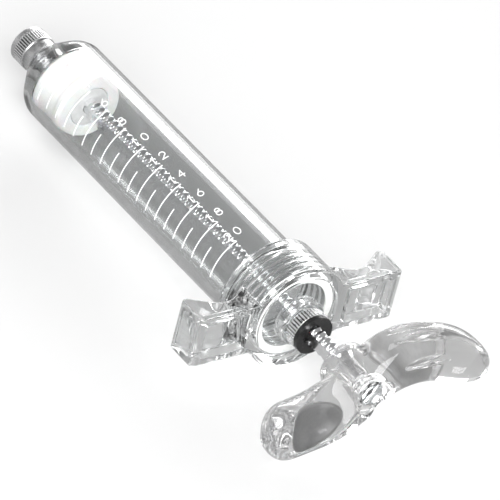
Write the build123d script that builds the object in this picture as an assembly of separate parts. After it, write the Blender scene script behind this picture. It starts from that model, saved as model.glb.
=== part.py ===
from build123d import *
import os
from math import atan2, cos, degrees, pi, radians, sin, sqrt

# Adjustable syringe-type meat injector. Millimetres.
# The parts are drawn on a working axis: +Y runs from the handle to the tip, the
# finger wings lie along X and the origin is at the front ring of the rear cap.
# place_all() then moves every part so that the row origin is the bottom centre.

# ---------------------------------------------------------------- driving sizes
# gap between faces that rest on each other, and between a pin and its hole
SEAT = 0.02
# radial clearance of a running fit
RUNNING = 0.07

# barrel
BARREL_R = 11.3
BORE_R = 9.05
BARREL_REAR_Y = -10.4
BORE_FRONT_Y = 85.2
SHOULDER_Y = 86.9
NOSE_Y = 93.3
NOSE_R = 6.0
NOSE_HOLE_R = 3.0
SHOULDER_ROUND = 4.0
NOSE_ROUND = 0.6
BARREL_END_CHAMFER = 0.4
THREAD_PITCH = 2.0
BARREL_THREAD_R = 11.0
BARREL_THREAD_FRONT_Y = -1.0
THREAD_DEPTH = 0.5
THREAD_HALF_WIDTH = 0.36

# printed scale, 20 ml
INK = 0.08
INK_GAP = 0.01
ZERO_ML_Y = 84.9
ML_LENGTH = 3.885
FULL_ML = 20
TICK_WIDTH = 0.3
TICK_START_Q = 178.0
LONG_TICK_END_Q = 121.6
SHORT_TICK_END_Q = 148.6
DIGIT_HEIGHT = 2.5
DIGIT_WIDTH = 1.7
DIGIT_STROKE = 0.25
DIGIT_ADVANCE_Q = 13.6
NUMERAL_Q = 119.2
NUMERAL_AHEAD = 2.5

# metal tip
FLANGE_R = 4.9
FLANGE_REAR_Y = 93.8
FLANGE_FRONT_Y = 94.7
COLLAR_REAR_Y = 94.75
COLLAR_BAND_Y = 97.4
COLLAR_RIB_Y = 100.6
COLLAR_FRONT_Y = 102.6
COLLAR_BAND_R = 4.65
COLLAR_RIB_R = 4.9
COLLAR_CAVITY_R = 3.7
LUER_ROOT_Y = 96.4
LUER_END_Y = 104.2
LUER_ROOT_R = 2.2
LUER_END_R = 1.97
TIP_SPIGOT_R = 3.2
TIP_CHANNEL_R = 0.9
STEM_R = 2.93
STEM_REAR_Y = 85.8
STEM_PITCH = 1.0
STEM_THREAD_DEPTH = 0.4
FLANGE_RIBS = 40
COLLAR_RIBS = 44
RIB_DEPTH = 0.25
RIB_WIDTH_SHARE = 0.72
COLLAR_CHAMFER = 0.6
CAVITY_THREAD_DEPTH = 0.35
GASKET_OUTER_R = 5.0

# rear cap with finger wings
CAP_R = 13.75
CAP_REAR_Y = -13.2
CAP_WEB_FRONT_Y = -11.05
CAP_WEB_REAR_Y = -12.2
CAP_THREAD_R = 11.2
CAP_MOUTH_R = 11.6
CAP_MOUTH_DEPTH = 1.6
CAP_RECESS_R = 11.3
WING_TIP_X = 29.5
WING_HALF_HEIGHT = 6.85
WING_LIP_Y = -4.3
WING_WAIST_Y = -8.4
WING_WAIST_X = 20.0
WING_ROOT_Y = -4.6
POCKET_FLOOR_Y = -10.4
POCKET_IN_X = 14.4
POCKET_OUT_X = 27.4
POCKET_HALF_HEIGHT = 4.9
WINDOW_DEPTH = 0.7
WINDOW_MARGIN = 1.7
WING_LIP_WIDTH = 1.6
WING_END_ROUND = 1.2
WING_EDGE_ROUND = 0.5
POCKET_CORNER_ROUND = 0.7
POCKET_FLOOR_ROUND = 0.5
CAP_EDGE_ROUND = 0.5

# rod, with a roll angle shared by the rod's flats and the pieces keyed to them
ROD_R = 2.95
ROD_FLAT = 1.4
ROD_FRONT_Y = 73.9
ROD_REAR_Y = -39.6
ROD_ROLL = 18.0
ROD_THREAD_DEPTH = 0.42
ROD_PLAIN_FRONT = 2.0
GUIDE_R = 6.2
GUIDE_REAR_Y = -15.4
GUIDE_SPIGOT_R = 4.5
GUIDE_CHAMFER = 0.5

# piston
PISTON_REAR_Y = 73.7
PISTON_FRONT_Y = 84.85
PISTON_R = 9.02
PISTON_WAIST_R = 8.75
PLATE_R = 5.3
LIP_LENGTH = 2.2
WAIST_START = 2.8
SEAL_WEB_REAR_Y = 75.25
SEAL_WEB_FRONT_Y = 82.0
PLATE_REAR_Y = 75.2
PLATE_FRONT_Y = 83.3
PLATE_PLAY = 0.1
PISTON_SCREW_R = 1.8
PISTON_SCREW_HOLE_R = 1.85
PISTON_SCREW_DEPTH = 8.0
PISTON_SCREW_HEAD_R = 3.3
PISTON_SCREW_CHAMFER = 0.4
SCREW_SLOT_HALF_WIDTH = 0.4
SCREW_SLOT_DEPTH = 0.8

# dose nut and its lock ring
NUT_R = 5.25
NUT_FRONT_Y = -15.6
NUT_REAR_Y = -18.7
NUT_RIBS = 36
NUT_RIB_DEPTH = 0.32
NUT_CHAMFER = 0.3
LOCK_R = 5.1
LOCK_FRONT_Y = -18.75
LOCK_REAR_Y = -19.9
LOCK_TONGUE_Y = -21.8
LOCK_TONGUE_THICK = 0.85
LOCK_TONGUE_WIDTH = 2.4
PIN_R = 0.7
PIN_LENGTH = 0.9
PIN_PROUD = 0.6

# thumb handle
HUB_R = 6.2
HUB_ROUND = 1.5
HUB_FRONT_Y = -30.0
HUB_REAR_Y = -41.0
HANDLE_ROLL = 5.0
ARM_REACH = 31.6
ARM_MID_Y = -38.8
ARM_SWEEP = 6.3
ARM_RISE = 5.0
ARM_TIP_RISE = 0.4
ARM_DEPTH = 10.8
ARM_HEIGHT = 15.3
ARM_THIN = 2.0
ARM_ROOT_SWELL = 2.5
ARM_ROUND_FROM = 0.74
COUNTERBORE_R = 4.9
DISH_SHARE = 0.52
DISH_TILT = 25.0
DISH_SURFACE = 5.6
DISH_DEPTH = 2.9
DISH_LONG_R = 9.4
DISH_CROSS_R = 9.0
# leaf pockets in the top of an arm: inner end x, outer end x, inner end y, outer end y, bulge
TOP_LEAVES = (
    (4.0, 19.5, -37.0, -39.2, 0.3),
    (5.5, 21.0, -40.6, -43.0, 0.2),
)
TOP_LEAF_FLOOR_Z = 11.4
# leaf pocket in the back of an arm: inner end x, outer end x, inner end z, outer end z, bulge
BACK_LEAF = (6.6, 20.0, 6.4, 6.0, 0.4)
BACK_LEAF_DEPTH = 4.0
LEAF_HALF_WIDTH = 1.3
SCREW_HEAD_R = 3.3
SCREW_HEAD_Y = -43.2
SCREW_HEAD_CHAMFER = 0.5
SCREW_SHANK_R = 1.2
SCREW_HOLE_R = 1.25
SCREW_LENGTH = 8.5
SCREW_SLOT_ROLL = -35.0
WASHER_R = 3.9
WASHER_REAR_Y = -41.5


# ---------------------------------------------------------------- helpers
def turned(*points):
    """Solid of revolution about the working axis from (radius, y) corners."""
    outline = Polyline(*[(r, y, 0) for r, y in points], close=True)
    return revolve(make_face(outline), Axis.Y, 360)


def disc(radius, rear_y, front_y):
    return turned((0, rear_y), (radius, rear_y), (radius, front_y), (0, front_y))


def ring(inner, outer, rear_y, front_y):
    return turned((inner, rear_y), (outer, rear_y), (outer, front_y), (inner, front_y))


def groove_rings(crest_r, root_r, rear_y, front_y, pitch=THREAD_PITCH):
    """V grooves that stand for a screw thread on a round part."""
    half = pitch * THREAD_HALF_WIDTH
    rings = []
    y = rear_y + pitch / 2
    while y + half < front_y:
        rings.append(turned((crest_r, y - half), (crest_r, y + half), (root_r, y)))
        y += pitch
    return rings


def box(x0, x1, y0, y1, z0, z1):
    centre = Pos((x0 + x1) / 2, (y0 + y1) / 2, (z0 + z1) / 2)
    return centre * Box(x1 - x0, y1 - y0, z1 - z0)


def roll(shape, angle):
    """Turn a shape about the working axis; a positive angle lifts its +X side."""
    return shape.rotate(Axis.Y, -angle)


def edge_ribs(count, radius, depth, rear_y, front_y):
    """Round cutters that leave lengthwise ribs on a round part."""
    cutter_r = radius * sin(pi / count) * RIB_WIDTH_SHARE
    length = front_y - rear_y
    cutters = []
    for i in range(count):
        angle = 2 * pi * i / count
        at = radius + cutter_r - depth
        centre = Pos(at * cos(angle), (rear_y + front_y) / 2, at * sin(angle))
        cutters.append(centre * Rot(90, 0, 0) * Cylinder(cutter_r, length))
    return cutters


# ---------------------------------------------------------------- barrel and scale
def make_barrel():
    outline = Polyline(
        (BORE_R, BARREL_REAR_Y, 0),
        (BARREL_THREAD_R, BARREL_REAR_Y, 0),
        (BARREL_THREAD_R, BARREL_THREAD_FRONT_Y, 0),
        (BARREL_R, BARREL_THREAD_FRONT_Y, 0),
        (BARREL_R, SHOULDER_Y, 0),
        (NOSE_R, NOSE_Y, 0),
        (NOSE_HOLE_R, NOSE_Y, 0),
        (NOSE_HOLE_R, BORE_FRONT_Y, 0),
        (BORE_R, BORE_FRONT_Y, 0),
        close=True,
    )
    face = make_face(outline)
    shoulder = [v for v in face.vertices() if abs(v.Y - SHOULDER_Y) < 0.01]
    face = fillet(shoulder, SHOULDER_ROUND)
    lip = [v for v in face.vertices() if abs(v.Y - NOSE_Y) < 0.01 and v.X > NOSE_HOLE_R + 1]
    face = fillet(lip, NOSE_ROUND)
    end = [v for v in face.vertices() if abs(v.Y - BARREL_REAR_Y) < 0.01]
    face = chamfer(end, BARREL_END_CHAMFER)
    body = revolve(face, Axis.Y, 360)
    root = BARREL_THREAD_R - THREAD_DEPTH
    first_y = BARREL_REAR_Y + BARREL_END_CHAMFER
    return body - groove_rings(BARREL_THREAD_R, root, first_y, BARREL_THREAD_FRONT_Y)


def tick(ml):
    """Curved ink line at a volume, cut from the shell by a wedge of angles."""
    end_q = LONG_TICK_END_Q if ml % 2 == 0 else SHORT_TICK_END_Q
    y = ZERO_ML_Y - ml * ML_LENGTH
    inner = BARREL_R + INK_GAP
    rear_y, front_y = y - TICK_WIDTH / 2, y + TICK_WIDTH / 2
    corners = ((inner, rear_y), (inner + INK, rear_y), (inner + INK, front_y), (inner, front_y))
    profile = make_face(Polyline(*[(r, at, 0) for r, at in corners], close=True))
    arc = revolve(profile, Axis.Y, TICK_START_Q - end_q)
    return roll(arc, TICK_START_Q)


def make_scale_ticks():
    return Compound([tick(ml) for ml in range(1, FULL_ML + 1)])


def oval(cx, cy, rx, ry):
    outer = Pos(cx, cy) * Ellipse(rx + DIGIT_STROKE / 2, ry + DIGIT_STROKE / 2)
    return outer - Pos(cx, cy) * Ellipse(rx - DIGIT_STROKE / 2, ry - DIGIT_STROKE / 2)


def bar(x0, y0, x1, y1):
    """Straight pen stroke between two points."""
    length = sqrt((x1 - x0) ** 2 + (y1 - y0) ** 2) + DIGIT_STROKE
    angle = degrees(atan2(y1 - y0, x1 - x0))
    return Pos((x0 + x1) / 2, (y0 + y1) / 2) * Rot(0, 0, angle) * Rectangle(length, DIGIT_STROKE)


def digit(char):
    """Flat outline of one generic numeral, centred on its own origin."""
    w = DIGIT_WIDTH / 2 - DIGIT_STROKE / 2
    h = DIGIT_HEIGHT / 2 - DIGIT_STROKE / 2
    if char == "0":
        return oval(0, 0, w, h)
    if char == "1":
        return bar(0, -h, 0, h) + bar(-w * 0.7, h * 0.55, 0, h)
    if char == "2":
        top = oval(0, h - w, w, w) - Pos(-w, h - 2 * w) * Rectangle(2 * w, 2 * w)
        return top + bar(w * 0.8, h - 1.6 * w, -w, -h) + bar(-w, -h, w, -h)
    if char == "4":
        slope = bar(w * 0.4, h, -w, -h * 0.3)
        return bar(w * 0.4, -h, w * 0.4, h) + slope + bar(-w, -h * 0.3, w, -h * 0.3)
    if char == "6":
        return oval(0, -h + w, w, w) + bar(-w * 0.9, -h + w * 1.3, w * 0.5, h)
    return oval(0, -h + w, w, w) + oval(0, h - w * 0.8, w * 0.82, w * 0.8)


def numeral_char(char, q, y):
    """One numeral as curved ink: its flat outline cut out of the ink shell."""
    angle = radians(q)
    normal = (cos(angle), 0, sin(angle))
    across = (sin(angle), 0, -cos(angle))
    plane = Plane(origin=(0, y, 0), x_dir=across, z_dir=normal)
    plane = plane.offset(BARREL_R - 1.5)
    post = extrude(plane * digit(char), 3.0)
    inner = BARREL_R + INK_GAP
    shell = ring(inner, inner + INK, y - DIGIT_HEIGHT, y + DIGIT_HEIGHT)
    return post & shell


def make_scale_numerals():
    solids = []
    for ml in range(2, FULL_ML + 1, 2):
        text = str(ml)
        y = ZERO_ML_Y - ml * ML_LENGTH + NUMERAL_AHEAD
        first_q = NUMERAL_Q + DIGIT_ADVANCE_Q * (len(text) - 1) / 2
        for i, char in enumerate(text):
            solids += numeral_char(char, first_q - i * DIGIT_ADVANCE_Q, y).solids()
    return Compound(solids)


# ---------------------------------------------------------------- metal tip
def make_nozzle_gasket():
    return ring(NOSE_HOLE_R + 0.05, GASKET_OUTER_R, NOSE_Y + SEAT, FLANGE_REAR_Y - SEAT)


def make_nozzle_body():
    body = turned(
        (TIP_CHANNEL_R, STEM_REAR_Y),
        (STEM_R, STEM_REAR_Y),
        (STEM_R, FLANGE_REAR_Y),
        (FLANGE_R, FLANGE_REAR_Y),
        (FLANGE_R, FLANGE_FRONT_Y),
        (TIP_SPIGOT_R, FLANGE_FRONT_Y),
        (TIP_SPIGOT_R, LUER_ROOT_Y),
        (LUER_ROOT_R, LUER_ROOT_Y),
        (LUER_END_R, LUER_END_Y),
        (TIP_CHANNEL_R, LUER_END_Y),
    )
    root = STEM_R - STEM_THREAD_DEPTH
    body -= groove_rings(STEM_R, root, STEM_REAR_Y, FLANGE_REAR_Y, STEM_PITCH)
    return body - edge_ribs(FLANGE_RIBS, FLANGE_R, RIB_DEPTH, FLANGE_REAR_Y - 0.1, FLANGE_FRONT_Y + 0.1)


def make_luer_lock_collar():
    bore_r = TIP_SPIGOT_R + SEAT
    floor_y = LUER_ROOT_Y + 0.2
    collar = turned(
        (bore_r, COLLAR_REAR_Y),
        (COLLAR_BAND_R, COLLAR_REAR_Y),
        (COLLAR_BAND_R, COLLAR_BAND_Y - 0.3),
        (COLLAR_RIB_R, COLLAR_BAND_Y),
        (COLLAR_RIB_R, COLLAR_FRONT_Y - COLLAR_CHAMFER),
        (COLLAR_RIB_R - COLLAR_CHAMFER, COLLAR_FRONT_Y),
        (COLLAR_CAVITY_R, COLLAR_FRONT_Y),
        (COLLAR_CAVITY_R, floor_y),
        (bore_r, floor_y),
    )
    collar -= edge_ribs(COLLAR_RIBS, COLLAR_RIB_R, RIB_DEPTH, COLLAR_BAND_Y, COLLAR_RIB_Y)
    root = COLLAR_CAVITY_R + CAVITY_THREAD_DEPTH
    return collar - groove_rings(COLLAR_CAVITY_R, root, floor_y + 0.8, COLLAR_FRONT_Y)


# ---------------------------------------------------------------- rear cap
def wing(side):
    """One finger wing: flat back, hollowed front and a flared outer lip."""
    lip_x = side * (WING_TIP_X - WING_LIP_WIDTH)
    root = (side * (CAP_R - 1.5), WING_ROOT_Y)
    front = Spline(
        root,
        (side * WING_WAIST_X, WING_WAIST_Y),
        (lip_x, WING_LIP_Y),
        tangents=((side * 1, -0.9), (side * 1, 0.55)),
    )
    corners = (
        (lip_x, WING_LIP_Y),
        (side * WING_TIP_X, WING_LIP_Y),
        (side * WING_TIP_X, CAP_REAR_Y),
        (0, CAP_REAR_Y),
        (0, WING_ROOT_Y),
        root,
    )
    plan = make_face([front, Polyline(*corners)])
    blank = extrude(plan, WING_HALF_HEIGHT, both=True)
    uprights = blank.edges().filter_by(Axis.Z)
    blank = fillet([e for e in uprights if abs(e.center().X) > WING_TIP_X - 0.01], WING_END_ROUND)
    rims = [e for face in blank.faces().filter_by(Axis.Z) for e in face.edges()]
    return fillet([e for e in rims if abs(e.center().X) > 1], WING_EDGE_ROUND)


def wing_pocket(side):
    """Framed pocket in the back of a wing and a shallow window in its end."""
    x0, x1 = sorted((side * POCKET_IN_X, side * POCKET_OUT_X))
    pocket = box(x0, x1, CAP_REAR_Y - 1, POCKET_FLOOR_Y, -POCKET_HALF_HEIGHT, POCKET_HALF_HEIGHT)
    pocket = fillet(pocket.edges().filter_by(Axis.Y), POCKET_CORNER_ROUND)
    floor_edges = pocket.faces().sort_by(Axis.Y)[-1].edges()
    pocket = fillet(floor_edges, POCKET_FLOOR_ROUND)
    w0, w1 = sorted((side * (WING_TIP_X - WINDOW_DEPTH), side * (WING_TIP_X + 1)))
    rear_y, front_y = CAP_REAR_Y + WINDOW_MARGIN, WING_LIP_Y - WINDOW_MARGIN
    window = box(w0, w1, rear_y, front_y, -POCKET_HALF_HEIGHT, POCKET_HALF_HEIGHT)
    return [pocket, fillet(window.edges().filter_by(Axis.X), POCKET_CORNER_ROUND)]


def make_rear_cap():
    collar = disc(CAP_R, CAP_REAR_Y, 0)
    collar = fillet(collar.edges().filter_by(GeomType.CIRCLE), CAP_EDGE_ROUND)
    cap = collar + wing(1) + wing(-1)
    hollow = turned(
        (0, CAP_WEB_FRONT_Y),
        (CAP_THREAD_R, CAP_WEB_FRONT_Y),
        (CAP_THREAD_R, -CAP_MOUTH_DEPTH),
        (CAP_MOUTH_R, -CAP_MOUTH_DEPTH),
        (CAP_MOUTH_R, 1),
        (0, 1),
    )
    cap -= hollow
    cap -= disc(CAP_RECESS_R, CAP_REAR_Y - 1, CAP_WEB_REAR_Y)
    cap -= disc(GUIDE_SPIGOT_R + SEAT, CAP_REAR_Y - 1, 0)
    root = CAP_THREAD_R + THREAD_DEPTH
    cap -= groove_rings(CAP_THREAD_R, root, CAP_WEB_FRONT_Y + 0.3, -CAP_MOUTH_DEPTH)
    for side in (1, -1):
        cap -= wing_pocket(side)
    return cap


def make_cap_gasket():
    return ring(BORE_R, BARREL_THREAD_R, CAP_WEB_FRONT_Y + SEAT, BARREL_REAR_Y - SEAT)


def make_rod_guide():
    hole_r = ROD_R + RUNNING
    return turned(
        (hole_r, CAP_WEB_FRONT_Y),
        (GUIDE_SPIGOT_R, CAP_WEB_FRONT_Y),
        (GUIDE_SPIGOT_R, CAP_WEB_REAR_Y - SEAT),
        (GUIDE_R, CAP_WEB_REAR_Y - SEAT),
        (GUIDE_R, GUIDE_REAR_Y + GUIDE_CHAMFER),
        (GUIDE_R - GUIDE_CHAMFER, GUIDE_REAR_Y),
        (hole_r, GUIDE_REAR_Y),
    )


# ---------------------------------------------------------------- piston
def make_piston_seal():
    """Silicone piston with a wiping lip at each end and a relieved waist."""
    hole_r = PISTON_SCREW_HOLE_R + PLATE_PLAY
    seat_r = PLATE_R + PLATE_PLAY
    return turned(
        (hole_r, SEAL_WEB_REAR_Y),
        (seat_r, SEAL_WEB_REAR_Y),
        (seat_r, PISTON_REAR_Y),
        (PISTON_R, PISTON_REAR_Y),
        (PISTON_R, PISTON_REAR_Y + LIP_LENGTH),
        (PISTON_WAIST_R, PISTON_REAR_Y + WAIST_START),
        (PISTON_WAIST_R, PISTON_FRONT_Y - WAIST_START),
        (PISTON_R, PISTON_FRONT_Y - LIP_LENGTH),
        (PISTON_R, PISTON_FRONT_Y),
        (seat_r, PISTON_FRONT_Y),
        (seat_r, SEAL_WEB_FRONT_Y),
        (hole_r, SEAL_WEB_FRONT_Y),
    )


def make_piston_rear_plate():
    return ring(PISTON_SCREW_HOLE_R, PLATE_R, ROD_FRONT_Y + SEAT, PLATE_REAR_Y)


def make_piston_front_plate():
    return ring(PISTON_SCREW_HOLE_R, PLATE_R, SEAL_WEB_FRONT_Y + SEAT, PLATE_FRONT_Y)


def make_piston_screw():
    """Pan-head screw through the piston into the end of the rod."""
    end_y = ROD_FRONT_Y - PISTON_SCREW_DEPTH
    head_y = PLATE_FRONT_Y + SEAT
    top_y = PISTON_FRONT_Y - 0.1
    screw = turned(
        (0, end_y),
        (PISTON_SCREW_R, end_y + PISTON_SCREW_CHAMFER),
        (PISTON_SCREW_R, head_y),
        (PISTON_SCREW_HEAD_R, head_y),
        (PISTON_SCREW_HEAD_R, top_y - PISTON_SCREW_CHAMFER),
        (PISTON_SCREW_HEAD_R - PISTON_SCREW_CHAMFER, top_y),
        (0, top_y),
    )
    half = SCREW_SLOT_HALF_WIDTH
    reach = PISTON_SCREW_HEAD_R + 1
    return screw - box(-half, half, top_y - SCREW_SLOT_DEPTH, top_y + 1, -reach, reach)


# ---------------------------------------------------------------- rod and dose nut
def flats(half_width, rear_y, front_y):
    """Slab between the rod's two flats, before it is rolled."""
    return box(-half_width, half_width, rear_y, front_y, -20, 20)


def make_plunger_rod():
    """Threaded rod with two flats, drilled at both ends for its screws."""
    rod = disc(ROD_R, ROD_REAR_Y, ROD_FRONT_Y)
    thread_rear_y = HUB_FRONT_Y + 0.5
    thread_front_y = ROD_FRONT_Y - ROD_PLAIN_FRONT
    rod -= groove_rings(ROD_R, ROD_R - ROD_THREAD_DEPTH, thread_rear_y, thread_front_y)
    rod &= flats(ROD_FLAT, ROD_REAR_Y, ROD_FRONT_Y)
    rod -= disc(SCREW_HOLE_R, ROD_REAR_Y - 1, ROD_REAR_Y + SCREW_LENGTH + 0.5)
    rod -= disc(PISTON_SCREW_HOLE_R, ROD_FRONT_Y - PISTON_SCREW_DEPTH - 0.2, ROD_FRONT_Y + 1)
    return roll(rod, ROD_ROLL)


def make_dose_nut():
    nut = turned(
        (ROD_R + RUNNING, NUT_REAR_Y),
        (NUT_R, NUT_REAR_Y),
        (NUT_R, NUT_FRONT_Y - NUT_CHAMFER),
        (NUT_R - NUT_CHAMFER, NUT_FRONT_Y),
        (ROD_R + RUNNING, NUT_FRONT_Y),
    )
    return nut - edge_ribs(NUT_RIBS, NUT_R, NUT_RIB_DEPTH, NUT_REAR_Y - 0.1, NUT_FRONT_Y + 0.1)


def make_dose_lock_ring():
    """Black ring with a keyed hole and a tongue lying on one flat of the rod."""
    body = disc(LOCK_R, LOCK_REAR_Y, LOCK_FRONT_Y)
    hole = disc(ROD_R + RUNNING, LOCK_REAR_Y - 1, LOCK_FRONT_Y + 1)
    hole &= flats(ROD_FLAT + RUNNING, LOCK_REAR_Y - 1, LOCK_FRONT_Y + 1)
    inner_x = -ROD_FLAT - RUNNING
    half = LOCK_TONGUE_WIDTH / 2
    tongue = box(inner_x - LOCK_TONGUE_THICK, inner_x, LOCK_TONGUE_Y, LOCK_REAR_Y + 0.3, -half, half)
    ring_body = body - hole + tongue
    return roll(ring_body - pin_shape(0.0), ROD_ROLL)


def pin_shape(play):
    """Short pin set in the tongue, square to the flat."""
    outer_x = -ROD_FLAT - RUNNING - LOCK_TONGUE_THICK
    y = (LOCK_TONGUE_Y + LOCK_REAR_Y) / 2
    x = outer_x + PIN_LENGTH / 2 - PIN_PROUD + 0.3
    return Pos(x, y, 0) * Rot(0, 90, 0) * Cylinder(PIN_R - play, PIN_LENGTH)


def make_stop_pin():
    return roll(pin_shape(SEAT), ROD_ROLL)


# ---------------------------------------------------------------- thumb handle
def arm_middle(a):
    """Depth and height of the right arm's centre line at a share a of its reach."""
    y_mid = ARM_MID_Y - ARM_SWEEP * a**2.4
    z_mid = ARM_RISE * sin(pi * a**0.75) + ARM_TIP_RISE * a
    return y_mid, z_mid


def rounded(value):
    """Cosine or sine swollen a little, so that a section is fuller than an ellipse."""
    return abs(value) ** 0.8 * (1 if value >= 0 else -1)


def arm_section(u):
    """Rounded section of the crescent at a share u of its reach, -1 to 1."""
    a = abs(u)
    y_mid, z_mid = arm_middle(a)
    if u < 0:
        z_mid = -z_mid
    close = 1.0
    if a > ARM_ROUND_FROM:
        close = sqrt(1 - ((a - ARM_ROUND_FROM) / (1 - ARM_ROUND_FROM)) ** 2)
    half_y = (ARM_DEPTH + ARM_ROOT_SWELL * (1 - a) ** 3) / 2 * close
    half_z = (ARM_HEIGHT - ARM_THIN * a**2) / 2 * close
    points = []
    for i in range(12):
        angle = 2 * pi * i / 12
        y = y_mid + half_y * rounded(cos(angle))
        z = z_mid + half_z * rounded(sin(angle))
        points.append((u * ARM_REACH, y, z))
    return make_face(Spline(*points, periodic=True))


def crescent():
    stations = (0.0, 0.2, 0.4, 0.6, 0.76, 0.88, 0.955, 0.99)
    shares = [-u for u in reversed(stations[1:])] + list(stations)
    return loft([arm_section(u) for u in shares])


def dish(side):
    """Oval finger dish: in the back of the left arm and in the front of the right arm."""
    y_mid, z_mid = arm_middle(DISH_SHARE)
    out = side * (DISH_SURFACE + DISH_CROSS_R - DISH_DEPTH)
    tilt = radians(DISH_TILT)
    upper = Pos(0, DISH_CROSS_R) * Rectangle(3 * DISH_LONG_R, 2 * DISH_CROSS_R)
    egg = revolve(Ellipse(DISH_LONG_R, DISH_CROSS_R) & upper, Axis.X, 360)
    x = side * DISH_SHARE * ARM_REACH
    return Pos(x, y_mid + out * cos(tilt), side * z_mid - out * sin(tilt)) * egg


def leaf(x0, x1, v0, v1, bulge):
    """Flat leaf outline from an inner to an outer end, drawn in two coordinates."""
    mid_x, mid_v = (x0 + x1) / 2, (v0 + v1) / 2 + bulge
    upper = ThreePointArc((x0, v0), (mid_x, mid_v + LEAF_HALF_WIDTH), (x1, v1))
    lower = ThreePointArc((x1, v1), (mid_x, mid_v - LEAF_HALF_WIDTH), (x0, v0))
    return make_face([upper, lower])


def top_pocket(*sizes):
    """Leaf pocket sunk into the top of the right arm."""
    return extrude(Pos(0, 0, TOP_LEAF_FLOOR_Z) * leaf(*sizes), 12)


def back_pocket(side):
    """Leaf pocket in the face of an arm that has no dish."""
    plane = Plane(origin=(0, ARM_MID_Y, 0), x_dir=(side, 0, 0), z_dir=(0, -side, 0))
    floor = ARM_DEPTH / 2 + (1.5 if side > 0 else -1.5) - BACK_LEAF_DEPTH / 2
    return extrude(plane.offset(floor) * leaf(*BACK_LEAF), 20)


def make_thumb_handle():
    body = crescent()
    hub = disc(HUB_R, HUB_REAR_Y, HUB_FRONT_Y)
    hub = fillet(hub.edges().filter_by(GeomType.CIRCLE).sort_by(Axis.Y)[-1:], HUB_ROUND)
    body = body + hub
    for side in (1, -1):
        body = body - dish(side) - back_pocket(side)
    for sizes in TOP_LEAVES:
        body = body - top_pocket(*sizes) - roll(top_pocket(*sizes), 180)
    body -= disc(COUNTERBORE_R, -60, HUB_REAR_Y)
    body -= disc(ROD_R + SEAT, ROD_REAR_Y - 0.1, 0)
    body -= disc(SCREW_HOLE_R, HUB_REAR_Y - 1, ROD_REAR_Y)
    return roll(body, HANDLE_ROLL)


def make_handle_washer():
    return ring(SCREW_HOLE_R, WASHER_R, WASHER_REAR_Y, HUB_REAR_Y - SEAT)


def make_handle_screw():
    """Slotted screw through the washer and the hub into the rear end of the rod."""
    end_y = ROD_REAR_Y + SCREW_LENGTH
    screw = turned(
        (0, SCREW_HEAD_Y),
        (SCREW_HEAD_R - SCREW_HEAD_CHAMFER, SCREW_HEAD_Y),
        (SCREW_HEAD_R, SCREW_HEAD_Y + SCREW_HEAD_CHAMFER),
        (SCREW_HEAD_R, WASHER_REAR_Y - SEAT),
        (SCREW_SHANK_R, WASHER_REAR_Y - SEAT),
        (SCREW_SHANK_R, end_y - 0.5),
        (0, end_y),
    )
    half = SCREW_SLOT_HALF_WIDTH
    reach = SCREW_HEAD_R + 1
    slot = box(-half, half, SCREW_HEAD_Y - 1, SCREW_HEAD_Y + SCREW_SLOT_DEPTH, -reach, reach)
    return roll(screw - slot, SCREW_SLOT_ROLL)


# ---------------------------------------------------------------- build and export
MAKERS = {
    "barrel": make_barrel,
    "scale_ticks": make_scale_ticks,
    "scale_numerals": make_scale_numerals,
    "nozzle_gasket": make_nozzle_gasket,
    "nozzle_body": make_nozzle_body,
    "luer_lock_collar": make_luer_lock_collar,
    "rear_cap": make_rear_cap,
    "cap_gasket": make_cap_gasket,
    "rod_guide": make_rod_guide,
    "piston_seal": make_piston_seal,
    "piston_rear_plate": make_piston_rear_plate,
    "piston_front_plate": make_piston_front_plate,
    "piston_screw": make_piston_screw,
    "plunger_rod": make_plunger_rod,
    "dose_nut": make_dose_nut,
    "dose_lock_ring": make_dose_lock_ring,
    "stop_pin": make_stop_pin,
    "thumb_handle": make_thumb_handle,
    "handle_washer": make_handle_washer,
    "handle_screw": make_handle_screw,
}


def place_all(parts):
    """Move every part so that the origin is the bottom centre of the whole."""
    boxes = [part.bounding_box() for part in parts.values()]
    x_mid = (min(b.min.X for b in boxes) + max(b.max.X for b in boxes)) / 2
    y_mid = (min(b.min.Y for b in boxes) + max(b.max.Y for b in boxes)) / 2
    z_low = min(b.min.Z for b in boxes)
    print("offset", round(-x_mid, 4), round(-y_mid, 4), round(-z_low, 4))
    return {name: Pos(-x_mid, -y_mid, -z_low) * part for name, part in parts.items()}


os.makedirs("parts", exist_ok=True)
built = {name: make() for name, make in MAKERS.items()}
for name, part in place_all(built).items():
    export_step(part, f"parts/{name}.step")
    print(name, len(part.solids()), round(part.volume, 1))
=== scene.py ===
import math

import bmesh
import bpy
from mathutils import Matrix, Vector


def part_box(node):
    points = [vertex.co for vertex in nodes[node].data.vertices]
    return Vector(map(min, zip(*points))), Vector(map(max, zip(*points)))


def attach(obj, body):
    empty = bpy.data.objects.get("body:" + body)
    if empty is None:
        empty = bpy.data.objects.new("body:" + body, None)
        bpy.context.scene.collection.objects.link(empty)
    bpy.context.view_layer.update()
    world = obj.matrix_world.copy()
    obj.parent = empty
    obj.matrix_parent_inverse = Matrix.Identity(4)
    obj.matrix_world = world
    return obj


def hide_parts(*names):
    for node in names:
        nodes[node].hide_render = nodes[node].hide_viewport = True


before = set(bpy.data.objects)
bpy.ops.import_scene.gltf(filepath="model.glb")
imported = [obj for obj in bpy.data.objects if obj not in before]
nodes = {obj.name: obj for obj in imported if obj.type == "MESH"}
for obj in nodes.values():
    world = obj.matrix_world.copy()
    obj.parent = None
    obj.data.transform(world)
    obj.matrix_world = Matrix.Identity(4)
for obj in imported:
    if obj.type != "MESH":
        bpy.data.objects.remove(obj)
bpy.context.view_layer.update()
scene = bpy.context.scene

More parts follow.
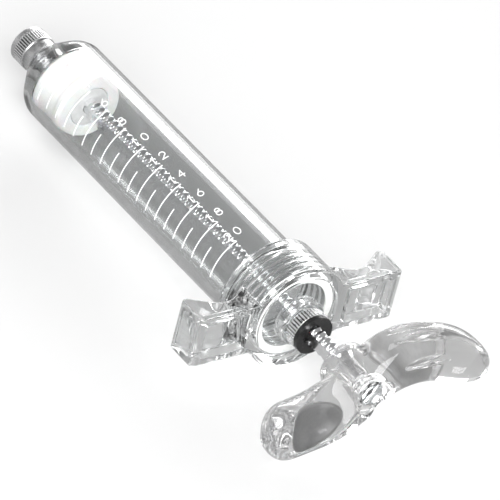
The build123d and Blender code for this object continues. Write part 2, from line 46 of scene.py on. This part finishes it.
# Outlines are lists of (radius, y) in millimetres on the injector's axis. +Y
# points to the tip, X lies along the finger wings, and zero is the front ring
# of the rear cap.
AXIS_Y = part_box("rear_cap")[1][1]
AXIS_Z = (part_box("barrel")[0][2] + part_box("barrel")[1][2]) / 2
MM = 1000
FULL_TURN = 2 * math.pi

# ------------------------------------------------------------------ mesh tools
MERGE_DISTANCE = 2e-6
SLIVER_LENGTH = 1e-6
CORNER_SHARE = 0.45  # the most of each side that a rounded corner may take
GROOVE_BIAS = 0.3  # makes a knurl's grooves wider than its ribs' crests
RADIUS_SLACK = 0.01


def place(x, y, z):
    """Turns a point on the injector's axis, in millimetres, into the row's frame."""
    return (x / MM, y / MM + AXIS_Y, z / MM + AXIS_Z)


def rolled(x, y, z, roll):
    """place() after a turn about the injector's axis."""
    turn, back = math.cos(roll), math.sin(roll)
    return place(x * turn - z * back, y, x * back + z * turn)


def soften(points, radius, closed=True, steps=4):
    """Rounds the corners of an outline."""
    out = []
    count = len(points)
    for i, point in enumerate(points):
        if not closed and i in (0, count - 1):
            out.append(point)
            continue
        here = Vector(point)
        before = Vector(points[i - 1]) - here
        after = Vector(points[(i + 1) % count]) - here
        cut = min(radius, before.length * CORNER_SHARE, after.length * CORNER_SHARE)
        first = here + before.normalized() * cut
        last = here + after.normalized() * cut
        for k in range(steps + 1):
            t = k / steps
            out.append(tuple(first * (1 - t) ** 2 + here * 2 * t * (1 - t) + last * t**2))
    return out


def line(start, end, step):
    """Points from start to end, so that a thread or a knurl has rows to use."""
    a, b = Vector(start), Vector(end)
    count = max(1, round((b - a).length / step))
    return [tuple(a.lerp(b, i / count)) for i in range(count + 1)]


def finish_mesh(name, mesh, sharp):
    """Merges doubled points, turns the faces outwards and marks sharp edges."""
    work = bmesh.new()
    work.from_mesh(mesh)
    bmesh.ops.remove_doubles(work, verts=work.verts, dist=MERGE_DISTANCE)
    bmesh.ops.dissolve_degenerate(work, edges=work.edges, dist=SLIVER_LENGTH)
    bmesh.ops.recalc_face_normals(work, faces=work.faces)
    work.to_mesh(mesh)
    work.free()
    mesh.set_sharp_from_angle(angle=math.radians(sharp))
    obj = bpy.data.objects.new(name, mesh)
    scene.collection.objects.link(obj)
    return obj


def turned(name, outline, around=128, shape=None, sharp=38, flat=None, roll=0.0):
    """A turned piece from a closed outline.

    shape(r, y, angle) may change a point's radius, and flat cuts two sides
    away at that distance from the axis.
    """
    verts, faces = [], []
    for r, y in outline:
        for i in range(around):
            angle = FULL_TURN * i / around
            out = shape(r, y, angle) if shape else r
            x, z = out * math.cos(angle), out * math.sin(angle)
            if flat:
                x = max(-flat, min(flat, x))
            verts.append(rolled(x, y, z, roll))
    rows = len(outline)
    for j in range(rows):
        a, b = j * around, (j + 1) % rows * around
        for i in range(around):
            k = (i + 1) % around
            faces.append((a + i, a + k, b + k, b + i))
    mesh = bpy.data.meshes.new(name)
    mesh.from_pydata(verts, [], faces)
    return finish_mesh(name, mesh, sharp)


def flat_ring(name, inner, outer, low, high, rounding):
    """A washer or gasket between two places along the axis."""
    corners = [(inner, low), (outer, low), (outer, high), (inner, high)]
    return turned(name, soften(corners, rounding), 96)


def near(radius):
    return lambda r: abs(r - radius) < RADIUS_SLACK


def beyond(radius):
    return lambda r: r > radius


def fade(y, low, high, width):
    """1 between low and high, falling to 0 at both ends."""
    return max(0.0, min(1.0, (y - low) / width, (high - y) / width))


def helix(depth, pitch, low, high, where, width=0.8):
    """A thread cut depth deep between two places along the axis."""

    def shape(r, y, angle):
        if not where(r) or not low <= y <= high:
            return r
        phase = y / pitch + angle / FULL_TURN
        crest = 0.5 + 0.5 * math.cos(FULL_TURN * phase)
        return r - depth * (1 - crest) * fade(y, low, high, width)

    return shape


def knurl(count, depth, low, high, where, width=0.4):
    """Lengthwise ribs round a piece, with run-out at their ends."""

    def shape(r, y, angle):
        if not where(r) or not low <= y <= high:
            return r
        groove = max(0.0, math.cos(count * angle) + GROOVE_BIAS) / (1 + GROOVE_BIAS)
        return r - depth * groove * fade(y, low, high, width)

    return shape


# ------------------------------------------------------------------ material tools
EVEN = (1, 1, 1)
NOISE_SPREAD = (0.3, 0.7)  # most of a noise texture's values lie between these
LATHE_DISTORTION = 0.4
FINE_BUMP = 0.0001
PLASTIC_IOR = 1.5
SHADOW_TINT = (0.9, 0.9, 0.9, 1)


def new_material(name, look):
    """A material whose shader starts with the constant values in look."""
    mat = bpy.data.materials.new(name)
    mat.use_nodes = True
    tree = mat.node_tree
    shader = tree.nodes["Principled BSDF"]
    for socket, value in look.items():
        shader.inputs[socket].default_value = value
    return mat, tree, shader


def between(tree, value, start, end, low, high):
    """Maps value from start..end to low..high and clamps it."""
    spread = tree.nodes.new("ShaderNodeMapRange")
    numbers = {"From Min": start, "From Max": end, "To Min": low, "To Max": high}
    for name, number in numbers.items():
        spread.inputs[name].default_value = number
    tree.links.new(value, spread.inputs["Value"])
    return spread.outputs["Result"]


def soft_noise(tree, scale, low, high, stretch=EVEN, detail=4.0):
    """A soft random value between low and high, stretched along the axes."""
    coord = tree.nodes.new("ShaderNodeTexCoord")
    mapping = tree.nodes.new("ShaderNodeMapping")
    mapping.inputs["Scale"].default_value = stretch
    noise = tree.nodes.new("ShaderNodeTexNoise")
    noise.inputs["Scale"].default_value = scale
    noise.inputs["Detail"].default_value = detail
    tree.links.new(coord.outputs["Object"], mapping.inputs["Vector"])
    tree.links.new(mapping.outputs["Vector"], noise.inputs["Vector"])
    return between(tree, noise.outputs["Fac"], *NOISE_SPREAD, low, high)


def lathe_lines(tree, scale):
    """Fine rings left by turning, along the injector's axis."""
    coord = tree.nodes.new("ShaderNodeTexCoord")
    wave = tree.nodes.new("ShaderNodeTexWave")
    wave.bands_direction = "Y"
    wave.inputs["Scale"].default_value = scale
    wave.inputs["Distortion"].default_value = LATHE_DISTORTION
    wave.inputs["Detail"].default_value = 3.0
    tree.links.new(coord.outputs["Object"], wave.inputs["Vector"])
    return wave.outputs["Fac"]


def bump(tree, shader, height, strength, distance=FINE_BUMP):
    node = tree.nodes.new("ShaderNodeBump")
    node.inputs["Strength"].default_value = strength
    node.inputs["Distance"].default_value = distance
    tree.links.new(height, node.inputs["Height"])
    tree.links.new(node.outputs["Normal"], shader.inputs["Normal"])


def tone(tree, shader, value, dark, light):
    """Base colour between two greys, following a texture value."""
    ramp = tree.nodes.new("ShaderNodeValToRGB")
    ramp.color_ramp.elements[0].color = (*dark, 1)
    ramp.color_ramp.elements[1].color = (*light, 1)
    tree.links.new(value, ramp.inputs["Fac"])
    tree.links.new(ramp.outputs["Color"], shader.inputs["Base Color"])


def roughen(tree, shader, scale, low, high, stretch=EVEN):
    """Roughness that drifts between low and high."""
    tree.links.new(soft_noise(tree, scale, low, high, stretch), shader.inputs["Roughness"])


def let_lamps_through(tree, shader):
    """Shadow rays pass clear plastic, so that what is inside it is lit."""
    path = tree.nodes.new("ShaderNodeLightPath")
    open_way = tree.nodes.new("ShaderNodeBsdfTransparent")
    open_way.inputs["Color"].default_value = SHADOW_TINT
    mix = tree.nodes.new("ShaderNodeMixShader")
    tree.links.new(path.outputs["Is Shadow Ray"], mix.inputs["Fac"])
    tree.links.new(shader.outputs["BSDF"], mix.inputs[1])
    tree.links.new(open_way.outputs["BSDF"], mix.inputs[2])
    tree.links.new(mix.outputs["Shader"], tree.nodes["Material Output"].inputs["Surface"])


def clear_plastic(name, tint, density, stretch=EVEN, wave=0.06):
    """Clear moulded plastic: faint flow waves outside, and darker where it is thick."""
    look = {"Base Color": (*tint, 1), "Transmission Weight": 1.0, "IOR": PLASTIC_IOR}
    mat, tree, shader = new_material(name, look)
    absorb = tree.nodes.new("ShaderNodeVolumeAbsorption")
    absorb.inputs["Color"].default_value = (0.0, 0.0, 0.0, 1)
    absorb.inputs["Density"].default_value = density
    tree.links.new(absorb.outputs["Volume"], tree.nodes["Material Output"].inputs["Volume"])
    roughen(tree, shader, 320, 0.01, 0.04, stretch)
    bump(tree, shader, soft_noise(tree, 180, 0, 1, stretch, 2.0), wave, 0.0002)
    let_lamps_through(tree, shader)
    return mat


# ------------------------------------------------------------------ handle's finger dishes
HANDLE_ROLL = math.radians(5)
DISHES = ((-16.43, -50.71, 0.05), (16.43, -29.51, -0.05))
DISH_RADII = (0.0094, 0.009, 0.009)
# The dish mask sets where both the grain and the painted shade lie.
DISH_EDGE = (1.06, 1.03)  # in dish radii: where the grain begins, and where it is full
DISH_ROUGHNESS = (0.3, 0.55)
POLISHED_ROUGHNESS = 0.02
POLISHED_TINT = 0.98
# Painted shade in the finger dishes: the base grey runs from dark low in the dish to light higher
# up, with heights in dish radii above the left dish's centre.
DISH_SHADE_HEIGHTS = (0.1, 0.6)  # in dish radii above the left dish's centre
DISH_SHADE_GREYS = (0.14, 0.8)


def mask_mix(tree, mask, outside, inside):
    """The number outside where mask is 0, and the value inside where it is 1."""
    mix = tree.nodes.new("ShaderNodeMix")
    mix.inputs["A"].default_value = outside
    tree.links.new(mask, mix.inputs["Factor"])
    tree.links.new(inside, mix.inputs["B"])
    return mix.outputs["Result"]


def two_way(tree, operation, first, second):
    node = tree.nodes.new("ShaderNodeMath")
    node.operation = operation
    tree.links.new(first, node.inputs[0])
    tree.links.new(second, node.inputs[1])
    return node.outputs["Value"]


def dish_space(tree, dish):
    """Coordinates in which the egg that holds one finger dish has radius 1."""
    coord = tree.nodes.new("ShaderNodeTexCoord")
    mapping = tree.nodes.new("ShaderNodeMapping")
    mapping.vector_type = "TEXTURE"
    mapping.inputs["Location"].default_value = rolled(*dish, HANDLE_ROLL)
    mapping.inputs["Rotation"].default_value = (0, -HANDLE_ROLL, 0)
    mapping.inputs["Scale"].default_value = DISH_RADII
    tree.links.new(coord.outputs["Object"], mapping.inputs["Vector"])
    return mapping.outputs["Vector"]


def dish_mask(tree, space):
    length = tree.nodes.new("ShaderNodeVectorMath")
    length.operation = "LENGTH"
    tree.links.new(space, length.inputs[0])
    return between(tree, length.outputs["Value"], *DISH_EDGE, 0, 1)


def frosted_and_shaded_dishes(tree, shader):
    """The finger dishes have a fine grain and painted shade, dark low in the dish and lighter
    higher up, and the rest of the handle is polished.
    """
    spaces = [dish_space(tree, dish) for dish in DISHES]
    mask = two_way(tree, "MAXIMUM", *(dish_mask(tree, space) for space in spaces))
    grain = soft_noise(tree, 2200, *DISH_ROUGHNESS)
    rough = mask_mix(tree, mask, POLISHED_ROUGHNESS, grain)
    tree.links.new(rough, shader.inputs["Roughness"])
    # Painted shade: the dishes' base grey rises with height in the left dish's space, with a
    # little random speckle.
    split = tree.nodes.new("ShaderNodeSeparateXYZ")
    tree.links.new(spaces[0], split.inputs["Vector"])
    dish_shade = between(tree, split.outputs["Z"], *DISH_SHADE_HEIGHTS, *DISH_SHADE_GREYS)
    speckled_dish_shade = two_way(tree, "MULTIPLY", dish_shade, soft_noise(tree, 1500, 0.8, 1.0))
    # The base colour is the polished tint outside the dishes and the painted shade inside them.
    tint = mask_mix(tree, mask, POLISHED_TINT, speckled_dish_shade)
    colour = tree.nodes.new("ShaderNodeCombineColor")
    for channel in ("Red", "Green", "Blue"):
        tree.links.new(tint, colour.inputs[channel])
    tree.links.new(colour.outputs["Color"], shader.inputs["Base Color"])


# ------------------------------------------------------------------ materials
WATER_CLEAR = (0.98, 0.99, 0.99)
clear_barrel = clear_plastic("barrel_plastic", (0.84, 0.85, 0.85), 30.0, (1, 0.12, 1), wave=0.03)
clear_cap = clear_plastic("cap_plastic", WATER_CLEAR, 8.0)
clear_handle = clear_plastic("handle_plastic", WATER_CLEAR, 8.0)
frosted_and_shaded_dishes(clear_handle.node_tree, clear_handle.node_tree.nodes["Principled BSDF"])

ink, tree, shader = new_material("scale_ink", {"Roughness": 0.45})
tone(tree, shader, soft_noise(tree, 900, 0, 1), (0.9, 0.9, 0.9), (1, 1, 1))

silicone_look = {"Subsurface Weight": 0.3, "Subsurface Scale": 0.002}
silicone, tree, shader = new_material("piston_silicone", silicone_look)
tone(tree, shader, soft_noise(tree, 400, 0, 1), (0.88, 0.88, 0.87), (0.95, 0.95, 0.94))
roughen(tree, shader, 300, 0.35, 0.55)
bump(tree, shader, soft_noise(tree, 2500, 0, 1), 0.15)

gasket, tree, shader = new_material("gasket_silicone", {})
tone(tree, shader, soft_noise(tree, 600, 0, 1), (0.7, 0.7, 0.69), (0.85, 0.85, 0.84))
roughen(tree, shader, 500, 0.4, 0.6)

nickel, tree, shader = new_material("satin_nickel", {"Metallic": 1.0})
drawn = soft_noise(tree, 500, 0, 1, (1, 0.2, 1))
tone(tree, shader, drawn, (0.5, 0.5, 0.51), (0.66, 0.66, 0.67))
roughen(tree, shader, 700, 0.2, 0.36, (1, 4, 1))
bump(tree, shader, lathe_lines(tree, 2600), 0.12)

# Painted shade: the base colour is dark in the ribs' grooves, where the surface is hollow, and
# light on their crests.
knurled, tree, shader = new_material("knurled_nickel", {"Metallic": 1.0})
surface = tree.nodes.new("ShaderNodeNewGeometry")
painted_groove_shade = between(tree, surface.outputs["Pointiness"], 0.47, 0.53, 0, 1)
tone(tree, shader, painted_groove_shade, (0.09, 0.09, 0.09), (0.82, 0.82, 0.83))
roughen(tree, shader, 700, 0.2, 0.36)
bump(tree, shader, lathe_lines(tree, 2600), 0.1)

bright, tree, shader = new_material("bright_nickel", {"Metallic": 1.0})
tone(tree, shader, soft_noise(tree, 500, 0, 1), (0.84, 0.84, 0.85), (0.97, 0.97, 0.98))
roughen(tree, shader, 900, 0.12, 0.26)
bump(tree, shader, soft_noise(tree, 1500, 0, 1, (1, 0.3, 1)), 0.12)

steel, tree, shader = new_material("turned_steel", {"Metallic": 1.0})
tone(tree, shader, soft_noise(tree, 500, 0, 1), (0.68, 0.69, 0.7), (0.84, 0.85, 0.86))
roughen(tree, shader, 800, 0.15, 0.3)
bump(tree, shader, lathe_lines(tree, 4000), 0.1)

black, tree, shader = new_material("black_plastic", {})
tone(tree, shader, soft_noise(tree, 700, 0, 1), (0.006, 0.006, 0.006), (0.016, 0.016, 0.016))
roughen(tree, shader, 600, 0.16, 0.3)
bump(tree, shader, soft_noise(tree, 1800, 0, 1), 0.1)

grey, tree, shader = new_material("plate_plastic", {})
tone(tree, shader, soft_noise(tree, 500, 0, 1), (0.66, 0.66, 0.66), (0.78, 0.78, 0.78))
roughen(tree, shader, 600, 0.3, 0.5)


def finished(obj, material, body, node):
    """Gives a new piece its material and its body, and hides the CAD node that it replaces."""
    obj.data.materials.clear()
    obj.data.materials.append(material)
    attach(obj, body)
    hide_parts(node)


def repaint(node, material):
    """Gives a CAD node that stays its material."""
    mesh = nodes[node].data
    mesh.materials.clear()
    mesh.materials.append(material)


# ------------------------------------------------------------------ barrel
BARREL_R, BORE_R, THREAD_R, TIP_HOLE_R = 11.3, 9.05, 11.0, 3.0
BARREL_BACK, THREAD_BACK, THREAD_FRONT = -10.4, -10.0, -1.0
BORE_FRONT, NOSE_BACK, NOSE_FRONT = 85.2, 83.0, 93.3

outer = (
    line((BORE_R + 0.05, BARREL_BACK), (THREAD_R - 0.4, BARREL_BACK), 1.0)
    + line((THREAD_R, THREAD_BACK), (THREAD_R, THREAD_FRONT), 0.2)
    + soften(
        [(THREAD_R, THREAD_FRONT), (BARREL_R, THREAD_FRONT), (BARREL_R, 0.5)],
        0.15,
        closed=False,
    )
    + line((BARREL_R, 1.0), (BARREL_R, 82.5), 8.0)
)
nose = soften(
    [(BARREL_R, NOSE_BACK), (BARREL_R, 86.9), (6.0, NOSE_FRONT), (TIP_HOLE_R, NOSE_FRONT)],
    3.6,
    closed=False,
    steps=14,
)
hole = soften(
    [(TIP_HOLE_R, 93.0), (TIP_HOLE_R, BORE_FRONT), (BORE_R, BORE_FRONT), (BORE_R, 83.0)],
    0.5,
    closed=False,
    steps=6,
)
bore = line((BORE_R, 80.0), (BORE_R, -10.3), 8.0)
barrel = turned(
    "barrel_shell",
    outer + nose + hole + bore,
    around=144,
    shape=helix(depth=0.5, pitch=2.0, low=THREAD_BACK, high=-1.2, where=near(THREAD_R)),
    sharp=50,
)
finished(barrel, clear_barrel, "barrel", "barrel")
repaint("scale_ticks", ink)
repaint("scale_numerals", ink)

# ------------------------------------------------------------------ metal tip
CHANNEL_R, STEM_R, FLANGE_R, NECK_R = 0.9, 2.93, 4.9, 3.2
STEM_BACK, FLANGE_BACK, FLANGE_FRONT = 85.9, 93.8, 94.7
CONE_BACK, CONE_FRONT = 96.4, 104.2

gasket_ring = flat_ring("tip_gasket", inner=3.05, outer=5.0, low=93.32, high=93.78, rounding=0.12)
finished(gasket_ring, gasket, "tip_seal", "nozzle_gasket")

stem = line((STEM_R, STEM_BACK), (STEM_R, 93.7), 0.12)
flange = soften(
    [
        (STEM_R, FLANGE_BACK),
        (FLANGE_R, FLANGE_BACK),
        (FLANGE_R, FLANGE_FRONT),
        (NECK_R, FLANGE_FRONT),
    ],
    0.12,
    closed=False,
)
cone = soften(
    [(NECK_R, CONE_BACK), (2.2, CONE_BACK), (1.97, CONE_FRONT), (CHANNEL_R, CONE_FRONT)],
    0.15,
    closed=False,
)
stem_thread = helix(0.4, 1.0, STEM_BACK, 93.6, near(STEM_R), width=0.5)
flange_knurl = knurl(60, 0.14, FLANGE_BACK, FLANGE_FRONT, beyond(4.6), width=0.15)
nozzle = turned(
    "nozzle",
    [(CHANNEL_R, 85.8), (2.7, 85.8)] + stem + flange + cone + [(CHANNEL_R, 104.0)],
    around=300,
    shape=lambda r, y, angle: flange_knurl(stem_thread(r, y, angle), y, angle),
    sharp=50,
)
finished(nozzle, nickel, "tip", "nozzle_body")

COLLAR_R, CAVITY_R, COLLAR_HOLE_R = 4.9, 3.7, 3.22
RIB_BACK, RIB_FRONT, CAVITY_BACK = 97.6, 101.0, 96.9
skirt = soften(
    [(COLLAR_HOLE_R, 94.75), (4.65, 94.75), (4.65, 97.1), (COLLAR_R, 97.4), (COLLAR_R, RIB_BACK)],
    0.15,
    closed=False,
)
ribs = line((COLLAR_R, 97.7), (COLLAR_R, 100.9), 0.16)
lip = soften(
    [(COLLAR_R, 101.2), (COLLAR_R, 102.3), (4.4, 102.6), (CAVITY_R, 102.6), (CAVITY_R, 102.2)],
    0.25,
    closed=False,
)
cavity = line((CAVITY_R, 102.0), (CAVITY_R, CAVITY_BACK), 0.2)
cavity += [(CAVITY_R, 96.6), (COLLAR_HOLE_R, 96.6)]
rib_shape = knurl(44, 0.3, RIB_BACK, RIB_FRONT, beyond(4.85), width=0.5)
inner_thread = helix(0.3, 1.6, CAVITY_BACK, 102.2, near(CAVITY_R))


def collar_shape(r, y, angle):
    """Ribs outside, and inside a thread cut outwards into the cavity's wall."""
    if r < CAVITY_R + 0.05:
        return 2 * r - inner_thread(r, y, angle)
    return rib_shape(r, y, angle)


collar = turned("lock_collar", skirt + ribs + lip + cavity, 352, shape=collar_shape, sharp=50)
finished(collar, knurled, "tip", "luer_lock_collar")

# ------------------------------------------------------------------ rear cap
ROD_HOLE_R = 3.02

repaint("rear_cap", clear_cap)
seal_ring = flat_ring(
    "barrel_gasket", inner=9.1, outer=11.0, low=-11.03, high=-10.42, rounding=0.15
)
finished(seal_ring, gasket, "cap_seal", "cap_gasket")
guide_outline = [
    (ROD_HOLE_R, -11.1), (4.5, -11.1), (4.5, -12.22), (6.2, -12.22),
    (6.2, -14.9), (5.7, -15.4), (ROD_HOLE_R, -15.4),
]
guide = turned("guide_bush", soften(guide_outline, 0.3))
finished(guide, clear_cap, "cap", "rod_guide")

# ------------------------------------------------------------------ piston
LIP_R, WAIST_R, PLATE_RECESS_R, SCREW_HOLE_R = 9.02, 8.7, 5.4, 1.95

seal_outline = [
    (SCREW_HOLE_R, 75.25), (PLATE_RECESS_R, 75.25), (PLATE_RECESS_R, 73.7), (8.6, 73.7),
    (LIP_R, 74.3), (LIP_R, 75.6), (WAIST_R, 76.4), (WAIST_R, 82.2), (LIP_R, 83.0),
    (LIP_R, 84.3), (8.6, 84.85), (PLATE_RECESS_R, 84.85), (PLATE_RECESS_R, 82.0),
    (SCREW_HOLE_R, 82.0),
]
seal = turned("piston_seal_soft", soften(seal_outline, 0.45))
finished(seal, silicone, "piston", "piston_seal")
rear_plate = flat_ring("rear_washer", inner=1.85, outer=5.3, low=73.93, high=75.2, rounding=0.2)
finished(rear_plate, grey, "piston", "piston_rear_plate")
front_plate = flat_ring("front_washer", inner=1.85, outer=5.3, low=82.03, high=83.3, rounding=0.2)
finished(front_plate, grey, "piston", "piston_front_plate")
repaint("piston_screw", steel)

# ------------------------------------------------------------------ rod
ROD_R, ROD_FLAT, ROD_ROLL = 2.95, 1.4, math.radians(18)
ROD_BACK, ROD_FRONT = -39.5, 73.8

# From the back end round to the front, then down the two screws' bores.
rod_outline = [(1.25, -39.6)] + line((ROD_R, ROD_BACK), (ROD_R, ROD_FRONT), 0.22)
rod_outline += [(1.85, 73.9), (1.85, 66.0), (0.0, 65.8), (0.0, -30.6), (1.25, -30.8)]
rod_thread = helix(0.42, 2.0, -29.4, 71.9, beyond(2.9), width=1.2)
rod = turned(
    "threaded_rod", rod_outline, 72, shape=rod_thread, sharp=30, flat=ROD_FLAT, roll=ROD_ROLL
)
finished(rod, bright, "plunger", "plunger_rod")

# ------------------------------------------------------------------ dose nut and lock ring
NUT_R, NUT_BACK, NUT_FRONT = 5.25, -18.7, -15.6

nut_outline = (
    soften([(ROD_HOLE_R, NUT_BACK), (NUT_R, NUT_BACK), (NUT_R, -18.4)], 0.25, closed=False)
    + line((NUT_R, -18.3), (NUT_R, -16.1), 0.2)
    + soften(
        [(NUT_R, -16.0), (NUT_R, -15.9), (4.95, NUT_FRONT), (ROD_HOLE_R, NUT_FRONT)],
        0.2,
        closed=False,
    )
)
nut_knurl = knurl(40, 0.36, NUT_BACK, -15.7, beyond(5.0))
nut = turned("knurled_nut", nut_outline, 384, shape=nut_knurl, sharp=50)
finished(nut, knurled, "dose_nut", "dose_nut")
repaint("dose_lock_ring", black)
repaint("stop_pin", steel)

# ------------------------------------------------------------------ thumb handle
MOULD_VOXEL = 0.00028
RELAX_PASSES = 8


def moulded_copy(node, name):
    """A copy of a CAD piece with the soft edges of a moulding."""
    piece = bpy.data.objects.new(name, nodes[node].data.copy())
    scene.collection.objects.link(piece)
    remesh = piece.modifiers.new("remesh", "REMESH")
    remesh.mode = "VOXEL"
    remesh.voxel_size = MOULD_VOXEL
    relax = piece.modifiers.new("relax", "SMOOTH")
    relax.factor = 0.5
    relax.iterations = RELAX_PASSES
    depsgraph = bpy.context.evaluated_depsgraph_get()
    mesh = bpy.data.meshes.new_from_object(piece.evaluated_get(depsgraph))
    mesh.name = name
    piece.modifiers.clear()
    piece.data = mesh
    mesh.shade_smooth()
    return piece


handle = moulded_copy("thumb_handle", "crescent_handle")
finished(handle, clear_handle, "plunger", "thumb_handle")
washer = flat_ring("hub_washer", inner=1.25, outer=3.9, low=-41.5, high=-41.02, rounding=0.12)
finished(washer, steel, "plunger", "handle_washer")
repaint("handle_screw", clear_cap)

# ------------------------------------------------------------------ stage
# In the photo the background is white, but grey shows through the clear
# plastic. So the floor is lighter for camera rays than for all other rays.
FLOOR_HALF = 3.0
FLOOR_SEEN = (0.7, 0.7, 0.7, 1)
FLOOR_THROUGH_PLASTIC = (0.36, 0.36, 0.36, 1)
LAMP_TARGET = (0, 0, 0.01)
# Each lamp's name, place, width, height and power in watts.
LAMPS = (
    ("back_softbox", (1.0, 0.8, 0.42), 1.1, 0.28, 7),
    ("back_glow", (1.02, 0.82, 0.42), 1.4, 0.9, 7),
    ("key_softbox", (-0.8, -0.95, 0.8), 1.2, 1.0, 32),
    ("top_softbox", (-0.4, 0.2, 1.5), 0.5, 0.5, 4),
)


def make_floor():
    mesh = bpy.data.meshes.new("floor")
    corners = [(-1, -1), (1, -1), (1, 1), (-1, 1)]
    verts = [(x * FLOOR_HALF, y * FLOOR_HALF, 0) for x, y in corners]
    mesh.from_pydata(verts, [], [(0, 1, 2, 3)])
    floor = bpy.data.objects.new("floor", mesh)
    scene.collection.objects.link(floor)
    paint, tree, shader = new_material("floor_paint", {"Roughness": 0.8})
    path = tree.nodes.new("ShaderNodeLightPath")
    shade = tree.nodes.new("ShaderNodeMix")
    shade.data_type = "RGBA"
    shade.inputs["A"].default_value = FLOOR_THROUGH_PLASTIC
    shade.inputs["B"].default_value = FLOOR_SEEN
    tree.links.new(path.outputs["Is Camera Ray"], shade.inputs["Factor"])
    tree.links.new(shade.outputs["Result"], shader.inputs["Base Color"])
    mesh.materials.append(paint)


def area_light(name, at, width, height, power):
    data = bpy.data.lights.new(name, "AREA")
    data.shape = "RECTANGLE"
    data.size, data.size_y, data.energy = width, height, power
    lamp = bpy.data.objects.new(name, data)
    scene.collection.objects.link(lamp)
    way = Vector(LAMP_TARGET) - Vector(at)
    turn = way.to_track_quat("-Z", "Y").to_matrix().to_4x4()
    lamp.matrix_world = Matrix.Translation(at) @ turn


def make_world():
    """Soft light that is brighter at the horizon than overhead."""
    world = bpy.data.worlds.new("studio")
    world.use_nodes = True
    scene.world = world
    tree = world.node_tree
    background = tree.nodes["Background"]
    coord = tree.nodes.new("ShaderNodeTexCoord")
    split = tree.nodes.new("ShaderNodeSeparateXYZ")
    ramp = tree.nodes.new("ShaderNodeValToRGB")
    horizon, overhead = ramp.color_ramp.elements
    horizon.position, horizon.color = 0.0, (0.9, 0.9, 0.9, 1)
    overhead.position, overhead.color = 0.75, (0.3, 0.3, 0.3, 1)
    tree.links.new(coord.outputs["Generated"], split.inputs["Vector"])
    tree.links.new(split.outputs["Z"], ramp.inputs["Fac"])
    tree.links.new(ramp.outputs["Color"], background.inputs["Color"])
    background.inputs["Strength"].default_value = 1.0


make_floor()
make_world()
for lamp in LAMPS:
    area_light(*lamp)

# ------------------------------------------------------------------ camera
# The photo's directions in the row's frame, fitted to its outlines.
RIGHT = Vector((0.7962, -0.5663, 0.2131)).normalized()
DOWN = Vector((-0.1990, -0.5776, -0.7916)).normalized()
INTO = Vector((0.5714, 0.5879, -0.5726)).normalized()
DISTANCE = 1.5
AIM_RIGHT, AIM_DOWN = -0.00246, -0.00567  # how far the view's middle is from INTO
SENSOR_WIDTH, LENS = 36, 462.24

camera_data = bpy.data.cameras.new("camera")
camera_data.sensor_width = SENSOR_WIDTH
camera_data.lens = LENS
camera_data.clip_start = 0.01
camera_data.clip_end = 20
camera = bpy.data.objects.new("camera", camera_data)
scene.collection.objects.link(camera)
into = (INTO + AIM_RIGHT * RIGHT + AIM_DOWN * DOWN).normalized()
right = (RIGHT - RIGHT.dot(into) * into).normalized()
down = into.cross(right).normalized()
eye = Vector((0, AXIS_Y, AXIS_Z)) - DISTANCE * INTO
turn = Matrix((right, -down, -into)).transposed().to_4x4()
camera.matrix_world = Matrix.Translation(eye) @ turn
scene.camera = camera

# Light crosses many clear walls, so it needs more bounces than the default.
scene.view_settings.view_transform = "Standard"
scene.cycles.max_bounces = 24
scene.cycles.transmission_bounces = 24
scene.cycles.glossy_bounces = 10
scene.cycles.transparent_max_bounces = 16
